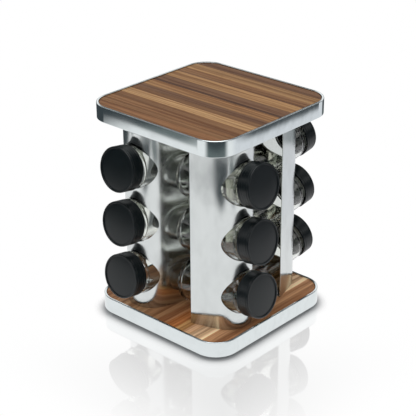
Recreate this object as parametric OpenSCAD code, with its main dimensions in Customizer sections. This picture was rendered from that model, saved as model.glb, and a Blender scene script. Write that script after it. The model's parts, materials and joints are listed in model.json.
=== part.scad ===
/* [Plates] */
// Side of the square top and bottom plates, over the metal rims
plate_w = 180; // [170:1:200]
// Outer corner radius of the plates
corner_r = 26.5; // [20:0.5:32]
// Height of the metal rim round each plate
rim_h = 17.5; // [15:0.5:22]
// Thickness of the rim's wall, seen from above as a bright land
rim_t = 2.4; // [1.8:0.1:3.4]
// Rounding of the rim's outer edges
rim_round = 0.9; // [0.4:0.1:1.2]
// Thickness of the rim's inward lip, which carries the core board
lip_t = 1.2; // [0.8:0.1:1.6]
// Width of that lip inside the wall
lip_w = 5; // [3:0.5:8]
// How far the walnut face lies below the rim's top edge
face_drop = 1.2; // [0.6:0.1:2]
// Thickness of the walnut butcher-block face
wood_t = 5; // [3:0.5:6.5]
// Thickness of the core board under the bottom plate's walnut
core_t = 4.5; // [3:0.5:5]
// Open joint between the boards and the rim
board_gap = 0.5; // [0.3:0.1:1]

/* [Tower] */
// Clear height from the bottom walnut face to the top plate's underside
tower_h = 204.5; // [196:0.5:220]
// Thickness of the stainless sheet
sheet_t = 1; // [0.8:0.1:1.4]
// Sheet left at each side of a jar's hole on the rounded nose
nose_land = 2.75; // [2.3:0.05:4]
// Distance from the spin axis to the nose's centre
nose_x = 54.8; // [54:0.2:58]
// Sideways offset of each jar column from the spin axis
side_off = 35.5; // [34.5:0.1:37]
// Angle at which the two legs of a panel spread
flare = 16; // [13:0.5:18]
// Distance from the spin axis to the end of the outer leg
outer_leg_x = 33.7; // [28:0.5:42]
// Distance from the spin axis to the end of the inner leg
inner_leg_x = 22; // [20:0.5:26]
// Width of each screwed tab, along its leg
tab_w = 13; // [11:0.5:16]
// Reach of each tab into the panel
tab_reach = 11; // [9:0.5:12]
// Distance from the end of a leg to its tab
tab_end = 2; // [1.5:0.5:5]
// Rounding of each tab's free corners
tab_round = 2.5; // [1:0.5:4]
// Inside radius of the bend between a leg and its tab
bend_r = 0.8; // [0.5:0.1:1.2]
// Width of the relief notch at each side of that bend
notch_w = 1; // [0.6:0.1:1.5]

/* [Jars] */
// Upward tilt of the jars towards their caps
tilt = 9; // [6:0.5:10]
// Height of the lowest hole's centre above the bottom walnut face
row_h = 39.9; // [38:0.1:43]
// Depth of the topmost hole's centre below the top plate
top_row_depth = 43.6; // [42:0.1:46]
// Diameter of the glass body
jar_d = 45.8; // [44:0.1:47]
// Overall length of a jar with its cap on
jar_len = 100; // [96:0.5:106]
// Thickness of the glass wall
glass_t = 2.2; // [1.6:0.1:3]
// Thickness of the glass base at its edge
base_t = 4; // [3:0.1:6]
// Rounding of the jar's bottom edge
heel_r = 3.5; // [2:0.1:5]
// Rounding of the jar's shoulder
shoulder_r = 3; // [1.5:0.1:3.5]
// Height of the dome pressed up into the base
punt_h = 2; // [1:0.1:2.5]
// Length of the neck above the shoulder
neck_h = 14; // [13:0.5:16]
// Gap between the jar and the panel's hole, all round
hole_gap = 0.35; // [0.25:0.05:0.5]
// Gap between the jar's base and the leg that it stops against
stop_gap = 0.3; // [0.2:0.05:0.6]

/* [Caps] */
// Outer diameter of the cap
cap_d = 47.4; // [46:0.1:49]
// Height of the cap
cap_h = 15; // [13:0.5:16]
// Thickness of the cap's skirt
cap_wall = 2; // [1.6:0.1:2.4]
// Thickness of the cap's top
cap_top = 1.8; // [1.4:0.1:2.4]
// Room for the thread between the cap's skirt and the jar's neck
thread_room = 1.4; // [1:0.1:1.8]
// Rounding of the edge round the cap's face
edge_r = 1.1; // [0.6:0.1:1.6]
// Width of the raised ring round the cap's face
ring_w = 2; // [1.8:0.1:3]
// Depth of the face inside that ring
face_set = 0.3; // [0.2:0.1:0.6]
// Width of the bands that two fine grooves mark out on the skirt
skirt_band = 4.3; // [3.5:0.1:4.8]
// Depth of those grooves
line_depth = 0.2; // [0.1:0.05:0.3]
// Gap between the cap and what it closes on
cap_gap = 0.3; // [0.2:0.05:0.4]

/* [Sifters] */
// Thickness of the sifter's plate and skirt
sifter_t = 1.2; // [0.8:0.1:1.6]
// Depth of the sifter's skirt in the neck
sifter_h = 7; // [5:0.5:10]
// Diameter of each sifter hole
sifter_hole = 3; // [2:0.1:4]
// Radius of the ring of sifter holes
sifter_ring = 8.5; // [7:0.5:12]

/* [Swivel] */
// Clearance between the bottom rim and the table
floor_gap = 3; // [2:0.5:5]
// Diameter of the swivel's lower plate
swivel_d = 130; // [120:1:150]
// Diameter of the swivel's upper plate
race_d = 118; // [112:1:130]
// Thickness of each swivel plate
race_t = 1.2; // [1:0.1:1.6]
// Distance from the upper plate's edge to the ring of balls
ball_edge = 13; // [12:0.5:16]
// Number of balls
ball_n = 16; // [12:4:24]
// Running gap between the balls and their races
ball_gap = 0.1; // [0.05:0.05:0.2]
// Distance from the upper plate's edge to each of its screws
race_screw_edge = 5; // [4:0.5:5.5]
// Diameter of the swivel's hollow pivot
pivot_d = 12; // [8:0.5:16]
// Running gap between the pivot and the upper plate
pivot_gap = 0.08; // [0.04:0.01:0.1]
// Diameter of each rubber foot
foot_d = 16; // [12:0.5:20]
// Distance from the lower plate's edge to the middle of each foot
foot_edge = 11; // [10.5:0.5:14]
// Height of the feet below the lower plate
foot_h = 2; // [1.5:0.1:3]

/* [Screws] */
// Diameter of the screws' shanks
screw_d = 3.2; // [2.8:0.1:3.6]
// Length of a screw's shank inside the board
screw_len = 3.6; // [3:0.1:4]
// Diameter of the screws' pan heads
screw_head_d = 6.4; // [5.4:0.1:7]
// Height of the screws' pan heads
screw_head_h = 1.6; // [1.2:0.1:2]

/* [Hidden] */
$fn = 64;
sides = ["right", "back", "left", "front"];
rows = ["low", "mid", "top"];

// How far a cutting shape runs past the face that it cuts
past = 1;
// Clearance of a screw's shank in its board, and in the sheet that it holds
screw_fit = 0.05;
screw_hole_gap = 0.2;
// Depth left below the tip of a screw in its hole
hole_spare = 0.3;

// Heights above the table, from the bottom up
rim_z = floor_gap;
deck_z = rim_z + rim_h - face_drop;
core_z = deck_z - wood_t - core_t;
ceiling_z = deck_z + tower_h;
top_rim_z = ceiling_z - lip_t;
top_face_z = top_rim_z + rim_h - face_drop;
top_core_t = top_face_z - wood_t - ceiling_z;

// Boards inside the rims
board_w = plate_w - 2 * (rim_t + board_gap);
board_r = corner_r - rim_t - board_gap;

// Rows of jars, spread evenly between the lowest and the topmost
row_pitch = (tower_h - row_h - top_row_depth) / (len(rows) - 1);

// Panels: the nose's tip, and where the legs leave the nose and end
jar_r = jar_d / 2;
hole_r = jar_r + hole_gap;
nose_r = hole_r + nose_land;
apex_x = nose_x + nose_r;
leave_x = nose_x + nose_r * sin(flare);
outer_leg = (leave_x - outer_leg_x) / cos(flare);
inner_leg = (leave_x - inner_leg_x) / cos(flare);
bend_top = bend_r + sheet_t;

// Screws
screw_r = screw_d / 2;
screw_head_r = screw_head_d / 2;
screw_dome_r = 1.4 * screw_head_r;
screw_dome_flat = 0.15;

// Jars: the base stops against the end of the neighbouring panel's inner leg
stop_x = -side_off + nose_r * cos(flare) + (leave_x - inner_leg_x) * tan(flare);
stop_off = side_off - inner_leg_x;
heel_flat = jar_r - heel_r;
base_x = stop_x + stop_gap + sqrt(pow(heel_flat, 2) - pow(stop_off, 2)) * sin(tilt);
base_run = (apex_x - base_x) / cos(tilt);
glass_len = jar_len - cap_top - cap_gap - sifter_t;
shoulder_z = glass_len - neck_h;
punt_edge = heel_flat - 2;
punt_r = (pow(punt_edge, 2) + pow(punt_h, 2)) / (2 * punt_h);

// Caps, and the neck that they close on
cap_r = cap_d / 2;
cap_z = jar_len - cap_h;
cap_bore_r = cap_r - cap_wall;
inner_top_z = jar_len - cap_top;
neck_r = cap_bore_r - thread_room;
bore_r = neck_r - glass_t;

// Sifters
sifter_fit = 0.08;
sifter_brim = neck_r - 0.6;
sifter_skirt = bore_r - sifter_fit;

// Swivel
ball_ring = race_d / 2 - ball_edge;
race_screw_ring = race_d / 2 - race_screw_edge;
foot_ring = swivel_d / 2 - foot_edge;
swivel_z = foot_h;
race_z = core_z - race_t;
ball_room = race_z - swivel_z - race_t;
groove = 0.4;
ball_r = ball_room / 2 + groove - ball_gap;
ball_z = swivel_z + race_t + ball_room / 2;
retainer_t = 1.4;
retainer_w = 10;
retainer_gap = 0.15;
pivot_r = pivot_d / 2;
pivot_bore_r = pivot_r - 1.4;
pivot_flange_r = pivot_r + 4;
pivot_lip_r = pivot_r + 1.4;
pivot_lip_t = 0.6;
lip_gap = 0.3;
foot_angle = 45;

// A rounded square lying flat, with its corners on true arcs
module rounded_square(w, r) {
    square([w - 2 * r, w], center = true);
    square([w, w - 2 * r], center = true);
    for (x = [-1, 1], y = [-1, 1])
        translate([x * (w / 2 - r), y * (w / 2 - r)])
            circle(r);
}

// The rim's section: a wall with rounded outer edges and an inward lip, whose
// underside is at lip_z. x = 0 is the outer face and material lies at negative x.
module rim_section(lip_z) {
    translate([-rim_t, rim_round])
        square([rim_t, rim_h - 2 * rim_round]);
    translate([-rim_t, 0])
        square([rim_t - rim_round, rim_h]);
    for (z = [rim_round, rim_h - rim_round])
        translate([-rim_round, z])
            circle(rim_round);
    translate([-rim_t - lip_w, lip_z])
        square([lip_w + rim_t / 2, lip_t]);
}

// The rim: four straight lengths of that section and four bent corners
module rim(lip_z) {
    straight = plate_w - 2 * corner_r;
    for (k = [0:3])
        rotate([0, 0, 90 * k]) {
            translate([plate_w / 2, straight / 2, 0])
                rotate([90, 0, 0])
                    linear_extrude(straight)
                        rim_section(lip_z);
            translate([straight / 2, straight / 2, 0])
                rotate_extrude(angle = 90)
                    translate([corner_r, 0])
                        rim_section(lip_z);
        }
}

module board(t) {
    linear_extrude(t)
        rounded_square(board_w, board_r);
}

// One panel's plan for a nose of radius r, with legs of the given lengths
module panel_plan(r, outer, inner) {
    dir_x = -cos(flare);
    dir_y = sin(flare);
    from_x = r * sin(flare);
    from_y = r * cos(flare);
    circle(r, $fn = 96);
    polygon([
        [from_x, -from_y],
        [from_x, from_y],
        [from_x + inner * dir_x, from_y + inner * dir_y],
        [from_x + outer * dir_x, -from_y - outer * dir_y]]);
}

// The bent sheet in plan, between its outer and inner faces
module sheet_plan() {
    open_end = 10 * sheet_t;
    translate([nose_x, -side_off])
        difference() {
            panel_plan(nose_r, outer_leg, inner_leg);
            panel_plan(nose_r - sheet_t, outer_leg + open_end, inner_leg + open_end);
        }
}

// Puts its children on a leg: +X runs along the leg towards its end,
// +Y into the panel, and the origin lies on the leg's inner face.
// hand is 1 for the inner leg and -1 for the outer one.
module on_leg(hand) {
    r = nose_r - sheet_t;
    translate([nose_x + r * sin(flare), -side_off + hand * r * cos(flare), 0])
        rotate([0, 0, 180 - hand * flare])
            mirror([0, hand < 0 ? 1 : 0, 0])
                children();
}

// Where each tab's screw stands along its leg
function tab_at(hand) = (hand > 0 ? inner_leg : outer_leg) - tab_w / 2 - tab_end;

// Puts its children at both tabs of a panel's lower or upper end, with z = 0 on
// the tabs' seat and +Z into the panel's height
module at_tabs(upper) {
    for (hand = [-1, 1])
        on_leg(hand)
            translate([tab_at(hand), 0, upper ? ceiling_z : deck_z])
                mirror([0, 0, upper ? 1 : 0])
                    children();
}

// A tab: the bend that joins it to its leg, and a flat foot with round corners
module tab() {
    rotate([90, 0, 90])
        translate([bend_r, bend_top, -tab_w / 2])
            linear_extrude(tab_w)
                intersection() {
                    difference() {
                        circle(bend_top);
                        circle(bend_r);
                    }
                    translate([-bend_top, -bend_top])
                        square(bend_top);
                }
    linear_extrude(sheet_t)
        difference() {
            union() {
                translate([-tab_w / 2, bend_r])
                    square([tab_w, tab_reach - tab_round - bend_r]);
                translate([-tab_w / 2 + tab_round, bend_r])
                    square([tab_w - 2 * tab_round, tab_reach - bend_r]);
                for (x = [-1, 1])
                    translate([x * (tab_w / 2 - tab_round), tab_reach - tab_round])
                        circle(tab_round);
            }
            translate([0, tab_reach / 2])
                circle(screw_r + screw_hole_gap);
        }
}

// What is cut from a leg to make way for a tab's bend and the notches beside it
module tab_window() {
    translate([-tab_w / 2 - notch_w, -sheet_t - past, -past])
        cube([tab_w + 2 * notch_w, sheet_t + 2 * past, bend_top + past]);
}

// Puts its children at the screw of every tab, turned so that +Z is the way in
module at_tab_screws(upper) {
    for (k = [0:len(sides) - 1])
        rotate([0, 0, 90 * k])
            at_tabs(upper)
                translate([0, tab_reach / 2, 0])
                    mirror([0, 0, 1])
                        children();
}

// A pan-head screw, its head under the origin and its shank along +Z
module pan_screw() {
    cylinder(r = screw_r, h = screw_len + sheet_t);
    intersection() {
        translate([0, 0, -screw_head_h])
            cylinder(r = screw_head_r, h = screw_head_h);
        translate([0, 0, screw_dome_r - screw_head_h - screw_dome_flat])
            sphere(r = screw_dome_r);
    }
}

// Puts a piece drawn along +Z from a jar's base into one of the tower's places
module in_place(side, row) {
    rotate([0, 0, 90 * side])
        translate([apex_x, -side_off, deck_z + row_h + row * row_pitch])
            rotate([0, 90 - tilt, 0])
                translate([0, 0, -base_run])
                    children();
}

// One panel: the bent sheet, its three slanting holes and its four folded tabs
module panel(side) {
    cut_from = nose_x + nose_r * sin(flare) / 2;
    cut_run = (apex_x - cut_from) / cos(tilt);
    color("#d3d8d8")
        rotate([0, 0, 90 * side]) {
            difference() {
                translate([0, 0, deck_z])
                    linear_extrude(tower_h)
                        sheet_plan();
                for (row = [0:len(rows) - 1])
                    translate([apex_x, -side_off, deck_z + row_h + row * row_pitch])
                        rotate([0, 90 - tilt, 0])
                            translate([0, 0, -cut_run])
                                cylinder(r = hole_r, h = 2 * cut_run);
                at_tabs(false)
                    tab_window();
                at_tabs(true)
                    tab_window();
            }
            at_tabs(false)
                tab();
            at_tabs(true)
                tab();
        }
}

// The glass jar: a revolved shell with a rounded heel, shoulder and neck
module jar(side, row) {
    color("#dfe8e6", 0.4)
        in_place(side, row)
            difference() {
                rotate_extrude($fn = 96)
                    jar_profile(jar_r, neck_r, 0, shoulder_z, glass_len);
                rotate_extrude($fn = 96)
                    jar_profile(jar_r - glass_t, bore_r, base_t, shoulder_z - glass_t, glass_len + past);
                translate([0, 0, punt_h - punt_r])
                    sphere(r = punt_r, $fn = 96);
            }
}

// Half the section of a jar or of its hollow: a body of radius r from z0 to z1,
// rounded at both ends, and a throat that runs on to z2
module jar_profile(r, throat_r, z0, z1, z2) {
    translate([0, z0])
        square([r - heel_r, heel_r]);
    translate([r - heel_r, z0 + heel_r])
        intersection() {
            circle(heel_r);
            translate([0, -heel_r])
                square(heel_r);
        }
    translate([0, z0 + heel_r])
        square([r, z1 - shoulder_r - z0 - heel_r]);
    translate([0, z1 - shoulder_r])
        square([r - shoulder_r, shoulder_r]);
    translate([r - shoulder_r, z1 - shoulder_r])
        intersection() {
            circle(shoulder_r);
            square(shoulder_r);
        }
    translate([0, z1 - shoulder_r])
        square([throat_r, z2 - z1 + shoulder_r]);
}

// The sifter: a pierced plate on the neck's mouth with a skirt inside it
module sifter(side, row) {
    skirt_z = glass_len - sifter_h;
    color("#f2f2ee")
        in_place(side, row)
            difference() {
                union() {
                    translate([0, 0, glass_len])
                        cylinder(r = sifter_brim, h = sifter_t);
                    translate([0, 0, skirt_z])
                        cylinder(r = sifter_skirt, h = sifter_h);
                }
                translate([0, 0, skirt_z - past])
                    cylinder(r = sifter_skirt - sifter_t, h = sifter_h + past);
                for (k = [0:5])
                    rotate([0, 0, 60 * k])
                        translate([sifter_ring, 0, glass_len - past])
                            cylinder(d = sifter_hole, h = sifter_t + 2 * past);
                translate([0, 0, glass_len - past])
                    cylinder(d = sifter_hole, h = sifter_t + 2 * past);
            }
}

// The cap: a revolved cup whose sunk face lies inside a rounded ring, with two
// fine grooves round its skirt
module cap(side, row) {
    color("#2b2d30")
        in_place(side, row)
            difference() {
                translate([0, 0, cap_z])
                    rotate_extrude($fn = 96)
                        cap_profile();
                translate([0, 0, cap_z - past])
                    cylinder(r = cap_bore_r, h = inner_top_z - cap_z + past);
            }
}

module cap_profile() {
    difference() {
        union() {
            square([cap_r, cap_h - edge_r]);
            square([cap_r - edge_r, cap_h]);
            translate([cap_r - edge_r, cap_h - edge_r])
                circle(edge_r);
        }
        translate([0, cap_h - face_set])
            square([cap_r - ring_w, face_set + past]);
        for (k = [1, 2])
            translate([cap_r, k * skirt_band])
                rotate(45)
                    square(line_depth * sqrt(2), center = true);
    }
}

module rubber_feet() {
    color("#202020")
        for (k = [0:3])
            rotate([0, 0, foot_angle + 90 * k])
                translate([foot_ring, 0, 0])
                    cylinder(d = foot_d, h = foot_h);
}

// The swivel's lower plate, with the groove that its balls run in
module swivel_base() {
    color("#b9bcbe")
        difference() {
            translate([0, 0, swivel_z])
                cylinder(d = swivel_d, h = race_t, $fn = 96);
            translate([0, 0, ball_z])
                race_groove();
            translate([0, 0, swivel_z - past])
                cylinder(r = pivot_bore_r, h = race_t + 2 * past);
        }
}

// The ring of space that the balls sweep, with their running gap
module race_groove() {
    rotate_extrude($fn = 96)
        translate([ball_ring, 0])
            circle(ball_r + ball_gap);
}

// The hollow rivet that the upper plate turns on, rolled over above it
module swivel_pivot() {
    shank = ball_room + race_t + lip_gap;
    color("#a9acae")
        translate([0, 0, swivel_z + race_t])
            difference() {
                union() {
                    cylinder(r = pivot_r, h = shank);
                    cylinder(r = pivot_flange_r, h = ball_room - lip_gap);
                    translate([0, 0, shank])
                        cylinder(r = pivot_lip_r, h = pivot_lip_t);
                }
                translate([0, 0, -past])
                    cylinder(r = pivot_bore_r, h = shank + pivot_lip_t + 2 * past);
            }
}

// The flat ring that keeps the balls apart
module ball_retainer() {
    color("#e8e4d8")
        difference() {
            translate([0, 0, ball_z - retainer_t / 2])
                cylinder(r = ball_ring + retainer_w / 2, h = retainer_t, $fn = 96);
            translate([0, 0, ball_z - retainer_t])
                cylinder(r = ball_ring - retainer_w / 2, h = 2 * retainer_t, $fn = 96);
            at_balls()
                translate([0, 0, -retainer_t])
                    cylinder(r = ball_r + retainer_gap, h = 2 * retainer_t);
        }
}

module bearing_balls() {
    color("#c8ccd0")
        at_balls()
            sphere(r = ball_r, $fn = 32);
}

// The centre of each ball
module at_balls() {
    for (k = [0:ball_n - 1])
        rotate([0, 0, 360 / ball_n * k])
            translate([ball_ring, 0, ball_z])
                children();
}

// The swivel's upper plate, grooved like the lower one and drilled for its screws
module swivel_race() {
    color("#b9bcbe")
        difference() {
            translate([0, 0, race_z])
                cylinder(d = race_d, h = race_t, $fn = 96);
            translate([0, 0, ball_z])
                race_groove();
            translate([0, 0, race_z - past])
                cylinder(r = pivot_r + pivot_gap, h = race_t + 2 * past);
            at_race_screws()
                translate([0, 0, -past])
                    cylinder(r = screw_r + screw_hole_gap, h = race_t + 2 * past);
        }
}

// The four places on the upper plate's underside where it is screwed to the board
module at_race_screws() {
    for (k = [0:3])
        rotate([0, 0, 90 * k])
            translate([race_screw_ring, 0, race_z])
                children();
}

module race_screws() {
    color("#c8ccd0")
        at_race_screws()
            pan_screw();
}

module bottom_rim() {
    color("#d3d7d9")
        translate([0, 0, rim_z])
            rim(core_z - lip_t - rim_z);
}

// The bottom core board, drilled for the screws of the swivel and for its pivot
module bottom_core() {
    color("#3a2f28")
        difference() {
            translate([0, 0, core_z])
                board(core_t);
            at_race_screws()
                cylinder(r = screw_r + screw_fit, h = race_t + screw_len + hole_spare);
            translate([0, 0, core_z - past])
                cylinder(r = pivot_lip_r + lip_gap, h = pivot_lip_t + 2 * lip_gap + past);
        }
}

// The bottom walnut face, drilled for the screws of the lower tabs
module bottom_wood() {
    color("#8a6146")
        difference() {
            translate([0, 0, core_z + core_t])
                board(wood_t);
            tab_screw_holes(false);
        }
}

// The blind holes that the tabs' screws bite in
module tab_screw_holes(upper) {
    at_tab_screws(upper)
        translate([0, 0, -past])
            cylinder(r = screw_r + screw_fit, h = past + screw_len + hole_spare);
}

module top_rim() {
    color("#d3d7d9")
        translate([0, 0, top_rim_z])
            rim(0);
}

// The top core board, drilled for the screws of the upper tabs
module top_core() {
    color("#3a2f28")
        difference() {
            translate([0, 0, ceiling_z])
                board(top_core_t);
            tab_screw_holes(true);
        }
}

module top_wood() {
    color("#8a6146")
        translate([0, 0, ceiling_z + top_core_t])
            board(wood_t);
}

// The eight screws that hold the panels' lower or upper tabs
module tab_screws(upper) {
    color("#c8ccd0")
        at_tab_screws(upper)
            translate([0, 0, -sheet_t])
                pan_screw();
}

rubber_feet();
swivel_base();
swivel_pivot();
ball_retainer();
bearing_balls();
swivel_race();
race_screws();
bottom_rim();
bottom_core();
bottom_wood();
top_rim();
top_core();
top_wood();
tab_screws(false);  // lower_screws
tab_screws(true);  // upper_screws
for (s = [0:3])
    panel(s);
for (s = [0:3], r = [0:2])
    jar(s, r);
for (s = [0:3], r = [0:2])
    sifter(s, r);
for (s = [0:3], r = [0:2])
    cap(s, r);
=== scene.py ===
import json
import math
import random

import bmesh
import bpy
import numpy as np
from mathutils import Matrix, Vector


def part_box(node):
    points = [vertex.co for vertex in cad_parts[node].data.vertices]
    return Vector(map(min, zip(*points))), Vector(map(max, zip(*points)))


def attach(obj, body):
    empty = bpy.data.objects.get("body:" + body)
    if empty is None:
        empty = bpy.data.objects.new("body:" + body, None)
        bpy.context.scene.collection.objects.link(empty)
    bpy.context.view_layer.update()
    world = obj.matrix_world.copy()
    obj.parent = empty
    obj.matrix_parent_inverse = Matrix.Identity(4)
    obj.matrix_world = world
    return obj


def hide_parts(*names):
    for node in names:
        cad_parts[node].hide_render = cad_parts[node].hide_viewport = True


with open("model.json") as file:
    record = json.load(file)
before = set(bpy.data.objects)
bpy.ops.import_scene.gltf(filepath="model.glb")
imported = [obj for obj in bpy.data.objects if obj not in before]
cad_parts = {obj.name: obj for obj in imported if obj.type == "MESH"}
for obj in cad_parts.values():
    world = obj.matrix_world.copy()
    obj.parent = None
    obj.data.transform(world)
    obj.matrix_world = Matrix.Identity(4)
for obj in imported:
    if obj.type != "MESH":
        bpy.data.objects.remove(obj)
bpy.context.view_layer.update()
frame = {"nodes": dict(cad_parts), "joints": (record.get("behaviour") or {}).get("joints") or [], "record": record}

MM = 0.001
SIDES = ("right", "back", "left", "front")
ROWS = ("low", "mid", "top")


# ---------------------------------------------------------------- sizes

def seat_of(side, row):
    """The frame of a jar's place: its origin is the middle of the jar's base and +Z runs to the cap."""
    joint = next(j for j in frame["joints"] if j["name"] == f"jar_{side}_{row}_slide")
    axis = Vector(joint["axis"]).normalized()
    level = Vector((0, 0, 1)).cross(axis).normalized()
    turn = Matrix((level, axis.cross(level), axis)).transposed()
    low, high = extent(f"jar_{side}_{row}", turn.to_4x4())
    base = turn @ Vector(((low[0] + high[0]) / 2, (low[1] + high[1]) / 2, low[2]))
    return Matrix.Translation(base) @ turn.to_4x4()


def extent(node, place):
    """Lowest and highest corner of a CAD node, in the axes of place."""
    corners = np.array([place.inverted() @ v.co for v in frame["nodes"][node].data.vertices])
    return corners.min(0), corners.max(0)


seats = {(side, row): seat_of(side, row) for side in SIDES for row in ROWS}
first_seat = seats["right", "low"]
jar_box = extent("jar_right_low", first_seat)
cap_box = extent("cap_right_low", first_seat)
jar_axis = first_seat.to_3x3().col[2]
tilt = math.asin(jar_axis.z)

# Plates
plate_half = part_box("top_rim")[1].x
rim_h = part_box("top_rim")[1].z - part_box("top_rim")[0].z
corner_r = 26.5 * MM
rim_t = 2.4 * MM
rim_round = 0.9 * MM
lip_t = 1.2 * MM
lip_w = 5 * MM
land_fall = 0.42 * MM
wood_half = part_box("top_wood")[1].x
wood_r = corner_r - (plate_half - wood_half)
deck_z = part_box("bottom_wood")[1].z
ceiling_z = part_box("top_core")[0].z

# Jars
jar_r = jar_box[1][0]
glass_len = jar_box[1][2]
glass_t = 2.2 * MM
base_t = 4 * MM
heel_r = 3.5 * MM
shoulder_r = 3 * MM
punt_h = 2 * MM
punt_r = 1.5 * MM
foot_w = 2 * MM
neck_h = 14 * MM
neck_r = 20.3 * MM
neck_fillet = 0.6 * MM
bore_r = neck_r - glass_t
throat_r = 1.2 * MM
mouth_r = 0.5 * MM
shoulder_z = glass_len - neck_h
thread_pitch = 4 * MM
thread_w = 1.6 * MM
thread_h = 0.85 * MM
thread_from = shoulder_z + 4 * MM
thread_turns = 1.6

# Caps. Each ends a little short of its CAD form, so that its edge stays inside the CAD model's box.
cap_r = cap_box[1][0]
cap_z = cap_box[0][2]
cap_short = 0.2 * MM
cap_end = cap_box[1][2] - cap_short
cap_wall = 2 * MM
cap_top = 1.8 * MM
crown_r = 0.8 * MM
hem_inner_r = 0.3 * MM
hem_outer_r = 0.4 * MM
edge_r = 1.1 * MM
ring_w = 2 * MM
ring_step = 0.1 * MM
ring_slope = 0.3 * MM
ring_top_r = 0.25 * MM
ring_foot_r = 0.2 * MM
dome_h = 0.9 * MM
dome_drop = 0.05 * MM
bead_w = 2.6 * MM
groove_d = 0.5 * MM
line_d = 0.22 * MM
cap_thread_h = 0.35 * MM
cap_thread_from = cap_z + 3.5 * MM
cap_thread_turns = 1.5

# Panels
sheet_t = 1 * MM
hole_gap = 0.35 * MM
hole_r = jar_r + hole_gap
nose_margin = 2.75 * MM
nose_r = hole_r + nose_margin
flare = math.radians(16)
apex_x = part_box("panel_right")[1].x
nose_x = apex_x - nose_r
side_off = -first_seat.translation.y
outer_leg_x = 33.7 * MM
inner_leg_x = 22 * MM
tab_w = 13 * MM
tab_reach = 11 * MM
tab_end = 2 * MM
tab_round = 2.5 * MM
bend_r = 0.8 * MM
notch_w = 1 * MM
edge_break = 0.12 * MM
edge_gap = 0.5 * MM
# Heights over the deck over which the painted shade at the sheets' foot goes from full to none
foot_shade_z = (1 * MM, 13 * MM)


# ---------------------------------------------------------------- finishes

def tint(red, green, blue):
    """A colour given as it looks on a screen, 0 to 255, as the linear one that shaders use."""
    def linear(c):
        c /= 255
        return c / 12.92 if c <= 0.04045 else ((c + 0.055) / 1.055) ** 2.4
    return linear(red), linear(green), linear(blue), 1


class Link:
    """One output of a node. Sums and products of it add Math nodes."""

    def __init__(self, finish, socket):
        self.finish = finish
        self.socket = socket

    def math(self, operation, *others):
        """This value and the others through a Math node."""
        return self.finish.node("Math", {"operation": operation}, dict(enumerate((self,) + others)))

    def __add__(self, other):
        return self.math("ADD", other)

    def __sub__(self, other):
        return self.math("SUBTRACT", other)

    def __mul__(self, other):
        return self.math("MULTIPLY", other)

    def __rsub__(self, other):
        return (self * -1) + other

    __radd__ = __add__
    __rmul__ = __mul__

    def parts(self):
        """This vector's x, y and z."""
        split = self.finish.node("SeparateXYZ", {}, {0: self}).socket.node
        return [Link(self.finish, socket) for socket in split.outputs]

    def either(self, other):
        """The larger of two masks."""
        return self.math("MAXIMUM", other)

    def stretched(self, x, y, z):
        """This vector with each of its parts scaled."""
        return self.finish.node("VectorMath", {"operation": "MULTIPLY"}, {0: self, 1: (x, y, z)})

    def moved(self, other):
        """This vector with another one added."""
        return self.finish.node("VectorMath", {"operation": "ADD"}, {0: self, 1: other})

    def scaled(self, factor):
        """This colour or vector, all of it times one factor."""
        return self.finish.node("VectorMath", {"operation": "SCALE"}, {0: self, "Scale": factor})

    def between(self, low, high):
        """0 below low, 1 above high, and a smooth step from one to the other."""
        return self.finish.node("MapRange", {"interpolation_type": "SMOOTHSTEP"},
                                {"Value": self, "From Min": low, "From Max": high})


class Finish:
    """A node tree that a material, the world or the floor is built in."""

    def __init__(self, name, owner=None):
        self.owner = owner or bpy.data.materials.new(name)
        self.owner.use_nodes = True
        self.tree = self.owner.node_tree
        self.tree.nodes.clear()

    def node(self, kind, settings=None, sockets=None, out=0):
        """Adds a node, sets it, fills or links its sockets and gives one of its outputs."""
        made = self.tree.nodes.new("ShaderNode" + kind)
        for name, value in (settings or {}).items():
            setattr(made, name, value)
        for name, value in (sockets or {}).items():
            if isinstance(value, Link):
                self.tree.links.new(value.socket, made.inputs[name])
            else:
                made.inputs[name].default_value = value
        return Link(self, made.outputs[out])

    def noise(self, where, scale=1.0, detail=2.0, rough=0.5):
        return self.node("TexNoise", {}, {
            "Vector": where, "Scale": scale, "Detail": detail, "Roughness": rough})

    def mix(self, share, low, high):
        """A colour from low, where share is 0, to high, where it is 1."""
        return self.node("Mix", {"data_type": "RGBA"}, {0: share, 6: low, 7: high}, out=2)

    def bump(self, height, distance, strength=1.0):
        return self.node("Bump", {}, {"Height": height, "Distance": distance, "Strength": strength})

    def ray(self, kind):
        """1 for the light rays of one kind, 0 for the others."""
        return self.node("LightPath", out=f"Is {kind} Ray")

    def grain(self):
        """Lengths along and across the piece's own grain, in metres."""
        return self.node("Attribute", {"attribute_name": "grain"}, out="Vector")

    def place(self):
        """The place on the piece, in metres."""
        return self.node("TexCoord", out="Object")

    def surface(self, shader, output="OutputMaterial"):
        made = self.tree.nodes.new("ShaderNode" + output)
        self.tree.links.new(shader.socket, made.inputs["Surface"])
        return self.owner

    def principled(self, sockets):
        return self.surface(self.node("BsdfPrincipled", {}, sockets))


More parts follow.
